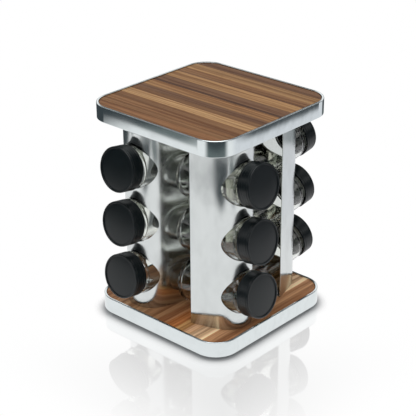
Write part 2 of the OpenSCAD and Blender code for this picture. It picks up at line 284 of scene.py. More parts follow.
def walnut():
    """Oiled walnut: each strip has its own tone, with streaks, fine fibres and open pores along it."""
    f = Finish("walnut")
    grain = f.grain()
    tone = f.node("Attribute", {"attribute_name": "tone"}, out="Color")
    waver = f.noise(grain.stretched(14, 60, 1), detail=3)
    waved = grain.moved(f.node("CombineXYZ", {}, {"Y": (waver - 0.5) * (6 * MM)}))
    streaks = f.noise(waved.stretched(4, 300, 20), detail=4, rough=0.6).between(0.34, 0.62)
    rings = f.noise(waved.stretched(2.5, 75, 6), detail=2).between(0.3, 0.7)
    fibres = f.noise(waved.stretched(30, 2200, 60), detail=2)
    pores = f.noise(waved.stretched(160, 2600, 100), detail=1).between(0.64, 0.74)
    shade = (0.92 + 0.26 * rings) * (0.80 + 0.36 * streaks) * (0.85 + 0.3 * fibres) * (1 - 0.38 * pores)
    warm = f.mix(streaks, tint(205, 172, 150), tint(255, 255, 255))
    multiply = {"data_type": "RGBA", "blend_type": "MULTIPLY"}
    colour = f.node("Mix", multiply, {0: 0.7, 6: tone, 7: warm}, out=2)
    relief = fibres * 0.4 - pores
    return f.principled({
        "Base Color": colour.scaled(shade),
        "Roughness": 0.5 + 0.14 * pores - 0.06 * streaks,
        "Specular IOR Level": 0.15,
        "Normal": f.bump(relief, 0.04 * MM),
    })


def shaded_by(colour, factor):
    """A colour times one factor."""
    return tuple(factor * c for c in colour[:3]) + (1,)


def rubbed_metal(name, colour, rough, lines, wave, stretch=0.0, inside=None):
    """Metal polished along its grain, with fine lines and a slow unevenness of these heights in mm.

    With a colour for its inside, it is a bent sheet: its inner face takes that darker colour as painted
    shade inside the tower, and its foot is darkened by painted shade."""
    f = Finish(name)
    grain = f.grain()
    fine = f.noise(grain.stretched(6, 5200, 1), detail=3, rough=0.7)
    broad = f.noise(grain.stretched(9, 420, 1), detail=2)
    slow = f.noise(grain.stretched(16, 40, 1), detail=1)
    smears = f.noise(grain.stretched(30, 55, 1), detail=4, rough=0.6).between(0.35, 0.75)
    height = fine * lines + broad * (lines * 1.5) + slow * wave
    smears_and_painted_shade = f.mix(smears, colour, shaded_by(colour, 0.94))
    roughness = rough * (0.75 + 0.3 * fine + 0.4 * smears)
    if inside:
        # Painted shade: the inner face takes the darker inside colour, and the foot grows darker toward the deck.
        height_up, _, depth = grain.parts()
        inner = depth.between(0.4 * sheet_t, 0.6 * sheet_t)
        foot = 1 - height_up.between(*(deck_z + z for z in foot_shade_z))
        smears_and_painted_shade = f.mix(inner, smears_and_painted_shade, inside).scaled(1 - 0.3 * foot)
        roughness = roughness * (1 - 0.4 * inner)
    return f.principled({
        "Base Color": smears_and_painted_shade,
        "Metallic": 1.0,
        "Roughness": roughness,
        "Anisotropic": stretch,
        "Normal": f.bump(height, 1 * MM),
    })


def plated_steel(name, colour, rough):
    """Bright steel or zinc plate with faint clouds and fine spots."""
    f = Finish(name)
    spots = f.noise(f.place(), scale=260, detail=4, rough=0.6)
    clouds = f.noise(f.place(), scale=38, detail=3)
    return f.principled({
        "Base Color": f.mix(clouds.between(0.3, 0.7), colour, shaded_by(colour, 0.86)),
        "Metallic": 1.0,
        "Roughness": rough + 0.12 * spots,
        "Normal": f.bump(spots, 0.01 * MM),
    })


def moulded(name, colour, rough, skin=0.01 * MM):
    """Plastic or rubber with the fine skin that a mould leaves."""
    f = Finish(name)
    skin_noise = f.noise(f.place(), scale=2600, detail=2)
    clouds = f.noise(f.place(), scale=60, detail=3)
    return f.principled({
        "Base Color": f.mix(clouds.between(0.3, 0.7), shaded_by(colour, 0.8), colour),
        "Roughness": rough + 0.08 * clouds,
        "Specular IOR Level": 0.4,
        "Normal": f.bump(skin_noise, skin),
    })


def fibreboard():
    """Dark pressed board with lighter flecks."""
    f = Finish("fibreboard")
    flecks = f.noise(f.place(), scale=700, detail=4, rough=0.7)
    return f.principled({
        "Base Color": f.mix(flecks.between(0.35, 0.7), tint(52, 42, 35), tint(84, 68, 56)),
        "Roughness": 0.7 + 0.1 * flecks,
        "Normal": f.bump(flecks, 0.05 * MM),
    })


def clear_glass():
    """Clear jar glass. Shadow rays pass straight through it."""
    f = Finish("clear_glass")
    ripple = f.noise(f.place(), scale=42, detail=1)
    glass = f.node("BsdfPrincipled", {}, {
        "Base Color": (0.93, 0.945, 0.92, 1),
        "Roughness": 0.0,
        "IOR": 1.5,
        "Transmission Weight": 1.0,
        "Normal": f.bump(ripple, 0.25 * MM),
    })
    clear = f.node("BsdfTransparent", {}, {"Color": (0.9, 0.93, 0.92, 1)})
    return f.surface(f.node("MixShader", {}, {0: f.ray("Shadow"), 1: glass, 2: clear}))


walnut_finish = walnut()
rim_finish = rubbed_metal("polished_band", (0.76, 0.81, 0.82, 1), rough=0.05, lines=0.00025, wave=0.016)
# The sheets' darker inside colour is painted shade on their inner faces within the tower.
panel_finish = rubbed_metal("satin_stainless", (0.71, 0.74, 0.74, 1), rough=0.155, lines=0.00045, wave=0.010,
                            stretch=0.93, inside=(0.56, 0.56, 0.50, 1))
cap_finish = moulded("cap_plastic", tint(11, 20, 23), 0.27)
glass_finish = clear_glass()

finishes = {
    "foot_rubber": moulded("foot_rubber", tint(38, 38, 40), 0.75, skin=0.02 * MM),
    "swivel_steel": plated_steel("zinc_plate", (0.60, 0.61, 0.62, 1), 0.28),
    "retainer_nylon": moulded("retainer_nylon", tint(226, 222, 208), 0.5),
    "ball_steel": plated_steel("ball_steel", (0.72, 0.73, 0.75, 1), 0.08),
    "screw_steel": plated_steel("screw_steel", (0.62, 0.63, 0.64, 1), 0.22),
    "core_board": fibreboard(),
    "sifter_plastic": moulded("sifter_plastic", tint(232, 232, 228), 0.4),
}
# The pieces that show their CAD meshes
for part in frame["record"]["subparts"]:
    if part["material_slot"] in finishes:
        mesh = frame["nodes"][part["node"]].data
        mesh.materials.clear()
        mesh.materials.append(finishes[part["material_slot"]])


# ---------------------------------------------------------------- forms

# Below these, a corner counts as straight, two points as one, and an edge or a normal as having no length
least_turn = 1e-4
weld_reach = 1e-7
least_edge = 1e-8
least_length = 1e-12


def rounded(corners, closed=False, step=math.radians(18)):
    """The points and outward normals of an outline whose corners, (x, y, radius), are rounded.

    It runs with the material on its left. A corner of radius 0 is a slight turn and stays one point."""
    corners = [(Vector(c[:2]), c[2]) for c in corners]
    points, normals = [], []
    count = len(corners)
    for i, (here, radius) in enumerate(corners):
        before = corners[i - 1][0] if closed or i else None
        after = corners[(i + 1) % count][0] if closed or i < count - 1 else None
        come = (here - before).normalized() if before else (after - here).normalized()
        go = (after - here).normalized() if after else come
        turn = math.atan2(come.x * go.y - come.y * go.x, come.dot(go))
        if radius == 0 or abs(turn) < least_turn:
            middle = (come + go).normalized()
            points.append(here)
            normals.append(Vector((middle.y, -middle.x)))
            continue
        back = radius * math.tan(abs(turn) / 2)
        steps = max(2, math.ceil(abs(turn) / step))
        start = here - come * back
        inward = Vector((-come.y, come.x)) * math.copysign(1, turn)
        centre = start + inward * radius
        for k in range(steps + 1):
            angle = turn * k / steps
            spoke = Matrix.Rotation(angle, 2) @ -inward
            points.append(centre + spoke * radius)
            normals.append(spoke * math.copysign(1, turn))
    return np.array(points), np.array(normals)


def mark(mesh, name, values):
    """Gives each point of a mesh a vector that materials can read."""
    mesh.attributes.new(name, "FLOAT_VECTOR", "POINT").data.foreach_set("vector", np.ravel(values))


class Skin:
    """Gathers patches of points into one clean mesh that keeps the true normal of each point."""

    def __init__(self):
        self.points, self.normals, self.grain, self.faces = [], [], [], []

    def patch(self, points, normals, grain, wrap_rows=False, wrap_columns=False):
        """Adds a grid of points. It may close on itself either way."""
        rows, columns = points.shape[:2]
        first = len(self.points)
        self.points += points.reshape(-1, 3).tolist()
        self.normals += normals.reshape(-1, 3).tolist()
        self.grain += grain.reshape(-1, 3).tolist()
        for i in range(rows if wrap_rows else rows - 1):
            for j in range(columns if wrap_columns else columns - 1):
                here, above = i * columns, (i + 1) % rows * columns
                across = (j + 1) % columns
                self.faces.append([first + k for k in (here + j, here + across, above + across, above + j)])

    def mesh(self, name):
        made = bpy.data.meshes.new(name)
        made.from_pydata(self.points, [], self.faces)
        mark(made, "true_normal", self.normals)
        mark(made, "grain", self.grain)
        weld(made)
        normals = np.zeros(len(made.vertices) * 3)
        made.attributes["true_normal"].data.foreach_get("vector", normals)
        made.attributes.remove(made.attributes["true_normal"])
        made.shade_smooth()
        made.normals_split_custom_set_from_vertices(normals.reshape(-1, 3))
        return made


def weld(mesh):
    """Joins points that lie on each other, and drops the faces that this flattens."""
    work = bmesh.new()
    work.from_mesh(mesh)
    bmesh.ops.remove_doubles(work, verts=work.verts, dist=weld_reach)
    bmesh.ops.dissolve_degenerate(work, edges=work.edges, dist=least_edge)
    work.to_mesh(mesh)
    work.free()


def slope(rise, at, small=1e-6):
    """How steeply a function rises at some places."""
    return (rise(at + small) - rise(at - small)) / (2 * small)


def run_along(points):
    """How far along an outline each of its points lies."""
    return np.concatenate([[0], np.cumsum(np.linalg.norm(np.diff(points, axis=0), axis=1))])


def lathe(name, outline, spokes, ridge=None):
    """Turns an outline of (radius, height) round +Z.

    What ridge(radius, angle, height) gives is added to the radius, and the normals follow its slopes."""
    points, normals = outline
    angles = np.arange(spokes) / spokes * 2 * math.pi
    radius = points[:, :1] + np.zeros(spokes)
    height = points[:, 1:] + np.zeros(spokes)
    angle = angles + np.zeros((len(points), 1))
    slope_r = normals[:, :1] + np.zeros(spokes)
    slope_z = normals[:, 1:] + np.zeros(spokes)
    side = np.zeros_like(radius)
    if ridge:
        rise = ridge(radius, angle, height)
        by_height = slope(lambda h: ridge(radius, angle, h), height)
        by_angle = slope(lambda a: ridge(radius, a, height), angle)
        face = np.sign(slope_r) * (rise != 0)
        slope_z = slope_z - by_height * face
        side = -by_angle * face / np.maximum(radius, MM)
        radius = radius + rise
    cos, sin = np.cos(angle), np.sin(angle)
    where = np.stack([radius * cos, radius * sin, height], 2)
    normal = np.stack([slope_r * cos - side * sin, slope_r * sin + side * cos, slope_z], 2)
    normal /= np.linalg.norm(normal, axis=2, keepdims=True)
    grain = np.stack([angle * points[:, :1].max(), run_along(points)[:, None] + 0 * angle, 0 * angle], 2)
    skin = Skin()
    skin.patch(where, normal, grain, wrap_columns=True)
    return skin.mesh(name)


def finer(outline, low, high, step):
    """The outline with more points on its straight runs between two heights."""
    points, normals = outline
    more_points, more_normals = [points[0]], [normals[0]]
    for i in range(1, len(points)):
        run = points[i] - points[i - 1]
        heights = sorted((points[i - 1][1], points[i][1]))
        inside = heights[0] >= low and heights[1] <= high
        parts = max(1, math.ceil(abs(run[1]) / step)) if inside else 1
        for k in range(1, parts + 1):
            more_points.append(points[i - 1] + run * k / parts)
            more_normals.append(normals[i - 1] + (normals[i] - normals[i - 1]) * k / parts)
    return np.array(more_points), np.array(more_normals)


def slab(outline, low, high, place=None):
    """A plate with that outline from one height to another, as lists of points and faces."""
    count = len(outline)
    points = [Vector((x, y, z)) for z in (low, high) for x, y in outline]
    if place:
        points = [place @ p for p in points]
    faces = [list(reversed(range(count))), list(range(count, 2 * count))]
    faces += [[i, (i + 1) % count, (i + 1) % count + count, i + count] for i in range(count)]
    return points, faces


def soften(mesh, width, sharp=math.radians(30)):
    """Breaks the sharp edges of a mesh, and sets its normals so that its broad faces stay flat."""
    work = bmesh.new()
    work.from_mesh(mesh)
    edges = [e for e in work.edges if len(e.link_faces) == 2 and e.calc_face_angle() > sharp]
    bmesh.ops.bevel(work, geom=edges, offset=width, offset_type="OFFSET", segments=2, profile=0.5,
                    affect="EDGES", clamp_overlap=False)
    work.to_mesh(mesh)
    work.free()
    mesh.shade_smooth()
    mesh.normals_split_custom_set_from_vertices(broad_normals(mesh))


def broad_normals(mesh):
    """The normal of each point, weighed by the area of the faces round it."""
    normals = np.zeros((len(mesh.vertices), 3))
    for face in mesh.polygons:
        normals[list(face.vertices)] += np.array(face.normal) * face.area
    return normals / np.maximum(np.linalg.norm(normals, axis=1, keepdims=True), least_length)


def piece(name, mesh, finish, body, nodes, place=None):
    """Puts a finished mesh into the scene as the piece that stands for CAD nodes."""
    made = bpy.data.objects.new(name, mesh)
    bpy.context.scene.collection.objects.link(made)
    if not mesh.materials:
        mesh.materials.append(finish)
    if place:
        made.matrix_world = place
    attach(made, body)
    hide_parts(*nodes)
    return made


# ---------------------------------------------------------------- jars and caps

def ridge_of(wall_r, start, turns, rise):
    """A screw thread's ridge on an upright wall: how far it stands out at each angle and height.

    Its crest is flat, and it swells and fades within an eighth of a turn."""
    near_wall = 0.05 * MM
    swell = 8
    steepness = 1.6

    def ridge(radius, angle, height):
        along = (height - start) / thread_pitch
        nearest = np.round(along - angle / (2 * math.pi))
        turned = nearest + angle / (2 * math.pi)
        off = np.abs(along - turned) * thread_pitch / (thread_w / 2)
        fade = np.clip(np.minimum(turned, turns - turned) * swell, 0, 1)
        crest = np.clip(steepness * (1 - off), 0, 1)
        crest = crest * crest * (3 - 2 * crest)
        on_wall = (np.abs(radius - wall_r) < near_wall) & (height > shoulder_z)
        return rise * crest * fade * on_wall
    return ridge


def jar_mesh():
    """The jar: a domed punt, a rounded heel and shoulder, and a neck with a screw thread."""
    inner_r = jar_r - glass_t
    punt_edge = jar_r - heel_r - foot_w
    parts = 6
    dome = [(punt_edge * k / parts, punt_h * (1 - (k / parts) ** 2), 0) for k in range(parts)]
    outline = rounded(dome + [
        (punt_edge, 0, punt_r),
        (jar_r, 0, heel_r * 0.98),
        (jar_r, shoulder_z, shoulder_r),
        (neck_r, shoulder_z, neck_fillet),
        (neck_r, glass_len, mouth_r),
        (bore_r, glass_len, mouth_r),
        (bore_r, shoulder_z - glass_t, throat_r),
        (inner_r, shoulder_z - glass_t, shoulder_r * 0.8),
        (inner_r, base_t, heel_r),
        (0, base_t, 0)], step=math.radians(12))
    fine = finer(outline, shoulder_z, glass_len, step=0.25 * MM)
    thread = ridge_of(neck_r, thread_from, thread_turns, thread_h)
    return lathe("jar", fine, spokes=96, ridge=thread)


def groove(z, depth):
    """A groove round a cap's skirt."""
    soft = 0.4 * depth
    return [(cap_r, z - depth, soft), (cap_r - depth, z, soft), (cap_r, z + depth, soft)]


def cap_mesh():
    """The cap: a thread inside, four grooves round its skirt and a thin ring round a slightly domed face."""
    bore = cap_r - cap_wall
    inside = cap_end - cap_top
    skirt = cap_end - cap_z - 2 * bead_w
    face_r = cap_r - ring_w - ring_slope
    parts = 8
    dome = [(face_r * k / parts, cap_end - dome_h * (k / parts) ** 2 - dome_drop, 0)
            for k in reversed(range(parts))]
    outline = rounded([
        (0, inside, 0),
        (bore, inside, crown_r),
        (bore, cap_z, hem_inner_r),
        (cap_r, cap_z, hem_outer_r),
        *groove(cap_z + bead_w, groove_d),
        *groove(cap_z + bead_w + skirt / 3, line_d),
        *groove(cap_z + bead_w + 2 * skirt / 3, line_d),
        *groove(cap_end - bead_w, groove_d),
        (cap_r, cap_end, edge_r),
        (cap_r - ring_w, cap_end, ring_top_r),
        (face_r, cap_end - dome_h - ring_step, ring_foot_r),
        *dome], step=math.radians(15))
    fine = finer(outline, cap_z + MM, inside - MM, step=0.4 * MM)
    thread = ridge_of(bore, cap_thread_from, cap_thread_turns, -cap_thread_h)
    return lathe("cap", fine, spokes=128, ridge=thread)


jar_shape = jar_mesh()
cap_shape = cap_mesh()
for (side, row), seat in seats.items():
    piece(f"glass_{side}_{row}", jar_shape, glass_finish, f"jar_{side}_{row}",
          [f"jar_{side}_{row}"], seat)
    piece(f"lid_{side}_{row}", cap_shape, cap_finish, f"cap_{side}_{row}",
          [f"cap_{side}_{row}"], seat)


# ---------------------------------------------------------------- rims

def square_path(half, radius, steps=24):
    """Stations round a rounded square: each is its point, its outward direction and its run."""
    stations = []
    run = 0
    for k in range(4):
        diagonal = math.pi / 2 * k + math.pi / 4
        middle = Vector((math.copysign(half - radius, math.cos(diagonal)),
                         math.copysign(half - radius, math.sin(diagonal))))
        for j in range(steps + 1):
            angle = math.pi / 2 * (k + j / steps)
            outward = Vector((math.cos(angle), math.sin(angle)))
            point = middle + outward * radius
            if stations:
                run += (point - stations[-1][0]).length
            stations.append((point, outward, run))
    return stations


def rim_mesh(name, low, lip_z):
    """The bent band: its section, drawn inward from its outer face, follows the plate's edge."""
    high = low + rim_h
    inner, lip_in = -rim_t, -rim_t - lip_w
    fine = 0.25 * MM
    corners = [(0, low, rim_round), (0, high, rim_round), (inner, high - land_fall, fine),
               (inner, lip_z + lip_t, fine), (lip_in, lip_z + lip_t, fine), (lip_in, lip_z, fine)]
    if lip_z > low:
        corners += [(inner, lip_z, fine), (inner, low, fine)]
    points, normals = rounded(corners, closed=True, step=math.radians(15))
    stations = square_path(plate_half, corner_r)
    where = [[(*(point + outward * x), z) for point, outward, _ in stations] for x, z in points]
    normal = [[(*(outward * x), z) for _, outward, _ in stations] for x, z in normals]
    grain = [[(along, r, 0) for _, _, along in stations] for r in run_along(points)]
    skin = Skin()
    skin.patch(np.array(where), np.array(normal), np.array(grain), wrap_rows=True, wrap_columns=True)
    return skin.mesh(name)


top_rim_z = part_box("top_rim")[0].z
bottom_rim_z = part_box("bottom_rim")[0].z
bottom_lip_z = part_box("bottom_core")[0].z - lip_t
piece("band_top", rim_mesh("band_top", top_rim_z, top_rim_z), rim_finish, "tower",
      ["top_rim"])
piece("band_bottom", rim_mesh("band_bottom", bottom_rim_z, bottom_lip_z), rim_finish, "tower",
      ["bottom_rim"])


# ---------------------------------------------------------------- walnut boards

WALNUT = {"pale": (166, 131, 89), "tan": (146, 111, 71), "mid": (122, 87, 54),
          "dark": (101, 71, 47), "deep": (80, 53, 34), "fawn": (146, 113, 83), "umber": (122, 89, 62),
          "ember": (142, 91, 53), "ash": (166, 141, 113), "cream": (184, 161, 129)}
# Strips of the top board from the back to the front, and of the bottom board from the left to the right:
# each one's width in mm, its tone and how much redder than that tone it is. The bottom board's tones are
# partly its wood and partly painted light: paler in its right half, where more light falls on it.
TOP_STRIPS = [
    (14, "dark", 0), (16, "tan", 0), (11.5, "mid", 0), (3, "dark", 0), (17.5, "tan", 0), (14.5, "dark", 0),
    (4.5, "deep", 0), (15.5, "tan", 0.3), (11, "dark", 0), (7.5, "mid", 0), (13.5, "pale", 0), (13, "mid", 0),
    (9, "mid", 0.1), (10, "mid", 0), (13.5, "mid", 0.4),
]
BOTTOM_STRIPS = [
    (12, "umber", 0), (15, "umber", 0), (12, "fawn", 0), (17, "fawn", 0), (13, "fawn", 0), (11, "umber", 0),
    (2, "dark", 0), (8, "umber", 0), (12, "umber", 0.6), (13, "ember", 0), (10, "tan", 0), (8, "ash", 0.6),
    (2, "fawn", 0), (9, "ash", 0), (8, "cream", 0), (11, "fawn", 0.3), (5, "umber", 0), (6, "umber", 0.3),
]
strip_gap = 0.06 * MM
strip_break = 0.15 * MM


def edge_at(across):
    """Half the board's width at a distance from its middle line, where its corners are rounded."""
    past = abs(across) - (wood_half - wood_r)
    return wood_half if past <= 0 else wood_half - wood_r + math.sqrt(max(0, wood_r ** 2 - past ** 2))


def strip_outline(start, end):
    """A strip between two distances from the middle line, cut to the board's rounded outline."""
    across = sorted({start, end, *[c * (wood_half - wood_r + wood_r * math.sin(math.radians(a)))
                                   for a in range(0, 91, 5) for c in (-1, 1)]})
    across = [a for a in across if start <= a <= end]
    return [(edge_at(a), a) for a in across] + [(-edge_at(a), a) for a in reversed(across)]


def boards_mesh(name, strips, low, high, turn, seed, pale=1.0):
    """Glued strips side by side. Each has its own tone and its own stretch of the grain.

    A pale above 1 brightens every tone as painted light.
    """
    rng = random.Random(seed)
    joined = bpy.data.meshes.new(name)
    points, faces, tones, grains = [], [], [], []
    scale = 2 * wood_half / sum(width for width, _, _ in strips)
    start = -wood_half
    for width, name_of_tone, redness in strips:
        red, green, blue = WALNUT[name_of_tone]
        tone = tint(pale * red * (1 + 0.03 * redness), pale * green * (1 - 0.05 * redness),
                    pale * blue * (1 - 0.1 * redness))
        end = start + width * scale
        outline = strip_outline(start + strip_gap / 2, end - strip_gap / 2)
        more, rings = slab(outline, low, high)
        faces += [[len(points) + k for k in ring] for ring in rings]
        shift = [rng.uniform(0, 9) for _ in range(3)]
        for p in more:
            grains.append((p.x + shift[0], p.y + shift[1], p.z + shift[2]))
            tones.append(tone)
            points.append(turn @ p)
        start = end
    joined.from_pydata(points, [], faces)
    mark(joined, "grain", grains)
    joined.attributes.new("tone", "FLOAT_COLOR", "POINT").data.foreach_set("color", np.ravel(tones))
    soften(joined, strip_break)
    return joined


top_low, top_high = (corner.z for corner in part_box("top_wood"))
low_low, low_high = (corner.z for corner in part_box("bottom_wood"))
half_turn = Matrix.Rotation(math.pi, 3, "Z")
quarter_turn = Matrix.Rotation(-math.pi / 2, 3, "Z")
top_boards = boards_mesh("boards_top", TOP_STRIPS, top_low, top_high, half_turn, seed=3)
piece("boards_top", top_boards, walnut_finish, "tower", ["top_wood"])
# pale=1.35 brightens the bottom board's tones: painted light for the board under the top plate.
bottom_boards = boards_mesh("boards_bottom", BOTTOM_STRIPS, low_low, low_high, quarter_turn,
                            seed=8, pale=1.35)
piece("boards_bottom", bottom_boards, walnut_finish, "tower", ["bottom_wood"])


# ---------------------------------------------------------------- panels

# A run goes round a sheet's outer face from the nose's tip. It is negative toward the outer leg, whose hand
# is -1, and positive toward the inner leg, whose hand is 1.
nose_half = nose_r * (math.pi / 2 - flare)
ease = 8 * MM
leave_x = nose_x + nose_r * math.sin(flare)
outer_leg = (leave_x - outer_leg_x) / math.cos(flare)
inner_leg = (leave_x - inner_leg_x) / math.cos(flare)
bend_top = bend_r + sheet_t


def turn_at(run):
    """How far the sheet has turned at a run from the nose's tip. The bend eases off into the legs."""
    past = min(1, max(0, (abs(run) - nose_half + ease) / (2 * ease)))
    turned = min(abs(run), nose_half - ease) + 2 * ease * (past - past * past / 2)
    return math.copysign(turned / nose_r, run)


# The bent sheet's outer face in plan, summed up in short steps
bend_reach = 90 * MM
bend_runs = np.linspace(0, bend_reach, 1801)
bend_turns = np.array([turn_at(run) for run in bend_runs])
bend_steps = np.stack([-np.sin(bend_turns), np.cos(bend_turns)], 1) * (bend_runs[1] - bend_runs[0])
bend_path = np.concatenate([[[0, 0]], np.cumsum((bend_steps[1:] + bend_steps[:-1]) / 2, axis=0)])


def on_sheet(run, depth):
    """A point of the bent sheet in plan, at a depth under its outer face, and that face's normal there."""
    angle = turn_at(run)
    normal = Vector((math.cos(angle), math.sin(angle)))
    x, y = (np.interp(abs(run), bend_runs, bend_path[:, k]) for k in (0, 1))
    return Vector((apex_x + x, math.copysign(y, run) - side_off)) - normal * depth, normal


def hole_edge(angle, centre_z, depth):
    """Where the slanting hole meets the sheet's face at a depth: its run and its height."""
    y = hole_r * math.cos(angle)
    up = hole_r * math.sin(angle)
    turn = math.asin(y / (nose_r - depth))
    x = nose_x + (nose_r - depth) * math.cos(turn)
    along = (x - apex_x + up * math.sin(tilt)) / math.cos(tilt)
    return turn * nose_r, centre_z + along * math.sin(tilt) + up * math.cos(tilt)


class Sheet:
    """The developed sheet: cells between points that have a place on the outer and on the inner face."""

    def __init__(self):
        self.points, self.index, self.cells = [], {}, []

    def at(self, outer, inner=None):
        """The number of a point, which is added the first time it is asked for."""
        key = (round(outer[0], 8), round(outer[1], 8))
        if key not in self.index:
            self.index[key] = len(self.points)
            self.points.append((outer, inner or outer))
        return self.index[key]

    def grid(self, runs, heights, skip=()):
        """Cells between runs and heights, apart from those whose middle lies in a slot."""
        for a, b in zip(runs, runs[1:]):
            for c, d in zip(heights, heights[1:]):
                middle = ((a + b) / 2, (c + d) / 2)
                if not any(w[0] < middle[0] < w[1] and w[2] < middle[1] < w[3] for w in skip):
                    self.cells.append([self.at(p) for p in ((a, c), (b, c), (b, d), (a, d))])

    def ring(self, edges, frame_points, steps):
        """Cells that lead from a hole's edge out to the block of sheet round it."""
        count = len(edges)

        def between(i, k):
            share = k / steps
            (so, zo), (si, zi) = edges[i % count]
            fs, fz = frame_points[i % count]
            return self.at((so + (fs - so) * share, zo + (fz - zo) * share),
                           (si + (fs - si) * share, zi + (fz - zi) * share))

        for i in range(count):
            for k in range(steps):
                self.cells.append([between(i, k), between(i, k + 1),
                                   between(i + 1, k + 1), between(i + 1, k)])


def spread(low, high, parts):
    """Evenly spaced values from one to another."""
    return [low + (high - low) * k / parts for k in range(parts + 1)]


def hole_centre(row):
    """The height at which a jar's axis goes through the nose's tip."""
    base = seats["right", row].translation
    return base.z + (apex_x - base.x) * math.tan(tilt)


def sheet_cells():
    """The developed sheet with its three slanting holes and four narrow slots in its head and foot.

    With it comes how far past the nose the middle of each leg's tabs lies."""
    low, high = deck_z + edge_gap, ceiling_z
    block = nose_half * 0.94
    side_parts = 28
    centres = [hole_centre(row) for row in ROWS]
    cuts = [deck_z + bend_top, (centres[0] + centres[1]) / 2, (centres[1] + centres[2]) / 2, high - bend_top]
    sheet = Sheet()
    across = spread(-block, block, side_parts)
    for centre, foot, head in zip(centres, cuts, cuts[1:]):
        heights = spread(foot, head, side_parts)
        frame_points = ([(block, z) for z in heights[:-1]] + [(s, head) for s in across[:0:-1]]
                        + [(-block, z) for z in heights[:0:-1]] + [(s, foot) for s in across[:-1]])
        count = len(frame_points)
        angles = [2 * math.pi * (i / count) - math.pi / 4 for i in range(count)]
        edges = [(hole_edge(a, centre, 0), hole_edge(a, centre, sheet_t)) for a in angles]
        sheet.ring(edges, frame_points, steps=7)
    rows = [low] + [z for foot, head in zip(cuts, cuts[1:]) for z in spread(foot, head, side_parts)[:-1]]
    rows += [cuts[-1], high]
    tabs = {}
    for hand, leg in ((-1, outer_leg), (1, inner_leg)):
        tabs[hand] = leg - tab_w / 2 - tab_end
        reach = tab_w / 2 + notch_w
        marks = [block, *spread(nose_half - ease / 6, nose_half + ease, 7), nose_half + tabs[hand] - reach,
                 nose_half + tabs[hand] + reach, nose_half + leg]
        runs = sorted(hand * m for m in marks)
        # Known fault: they lie beside the nose, and should be windows at the tabs, marks[-3] to marks[-2]
        slot = sorted((hand * marks[3], hand * marks[4]))
        sheet.grid(runs, rows, skip=[(*slot, low - MM, cuts[0]), (*slot, cuts[-1], high + MM)])
    for foot, head in ((low, cuts[0]), (cuts[-1], high)):
        sheet.grid(across, [foot, head])
    return sheet, tabs


def panel_mesh():
    """One bent panel with its holes and its four tabs, whose bends overlap its edges."""
    sheet, tabs = sheet_cells()
    points, grains, faces = [], [], []
    for depth, which in ((0, 0), (sheet_t, 1)):
        for pair in sheet.points:
            run, z = pair[which]
            points.append((*on_sheet(run, depth)[0], z))
            grains.append((z, run, depth))
    count = len(sheet.points)
    for cell in sheet.cells:
        faces += [cell, [k + count for k in reversed(cell)]]
    sides = dict.fromkeys(side for cell in sheet.cells for side in zip(cell, cell[1:] + cell[:1]))
    faces += [[b, a, a + count, b + count] for a, b in sides if (b, a) not in sides]
    for hand, along in tabs.items():
        for upper in (False, True):
            for more, rings in tab_shapes(hand, along, upper):
                flipped = (hand > 0) == upper
                faces += [[len(points) + k for k in (ring[::-1] if flipped else ring)] for ring in rings]
                points += [tuple(p) for p in more]
                grains += [(p[2], p[1], 0) for p in more]
    mesh = bpy.data.meshes.new("panel")
    mesh.from_pydata(points, [], faces)
    mark(mesh, "grain", grains)
    soften(mesh, edge_break)
    set_sheet_normals(mesh)
    return mesh


def tab_shapes(hand, along, upper):
    """A tab as two plates: the bend that joins it to its leg, and its flat foot with round corners."""
    start, _ = on_sheet(hand * (nose_half + along), sheet_t)
    run = Vector((-math.cos(flare), hand * math.sin(flare)))
    inward = -Vector((math.sin(flare), hand * math.cos(flare)))
    up = -1 if upper else 1
    place = Matrix((
        (run.x, inward.x, 0, start.x),
        (run.y, inward.y, 0, start.y),
        (0, 0, up, ceiling_z if upper else deck_z),
        (0, 0, 0, 1)))
    half = tab_w / 2
    corner = [(tab_round * math.cos(math.radians(a)), tab_round * math.sin(math.radians(a)))
              for a in range(0, 91, 15)]
    foot = ([(-half, bend_r), (half, bend_r)]
            + [(half - tab_round + x, tab_reach - tab_round + y) for x, y in corner]
            + [(-half + tab_round - x, tab_reach - tab_round + y) for x, y in reversed(corner)])
    arc = [math.radians(180 + a) for a in range(0, 91, 15)]
    bend = ([(bend_r + bend_top * math.cos(a), bend_top + bend_top * math.sin(a)) for a in arc]
            + [(bend_r + bend_r * math.cos(a), bend_top + bend_r * math.sin(a)) for a in reversed(arc)])
    upright = place @ Matrix(((0, 0, 1, 0), (1, 0, 0, 0), (0, 1, 0, 0), (0, 0, 0, 1)))
    return [slab(foot, 0, sheet_t, place), slab(bend, -half, half, upright)]


def set_sheet_normals(mesh):
    """Gives the sheet's broad faces the exact normals of its bent plan."""
    upright, along_face = 0.1, 0.985
    normals = broad_normals(mesh)
    grain = mesh.attributes["grain"].data
    for face in mesh.polygons:
        if abs(face.normal.z) > upright:
            continue
        for v in face.vertices:
            angle = turn_at(grain[v].vector.y)
            true = np.array((math.cos(angle), math.sin(angle), 0))
            lean = float(true @ np.array(face.normal))
            if abs(lean) > along_face:
                normals[v] = true * math.copysign(1, lean)
    mesh.normals_split_custom_set_from_vertices(normals)


panel_shape = panel_mesh()
for k, side in enumerate(SIDES):
    piece(f"sheet_{side}", panel_shape, panel_finish, "tower", [f"panel_{side}"],
          Matrix.Rotation(math.pi / 2 * k, 4, "Z"))


# ---------------------------------------------------------------- stage

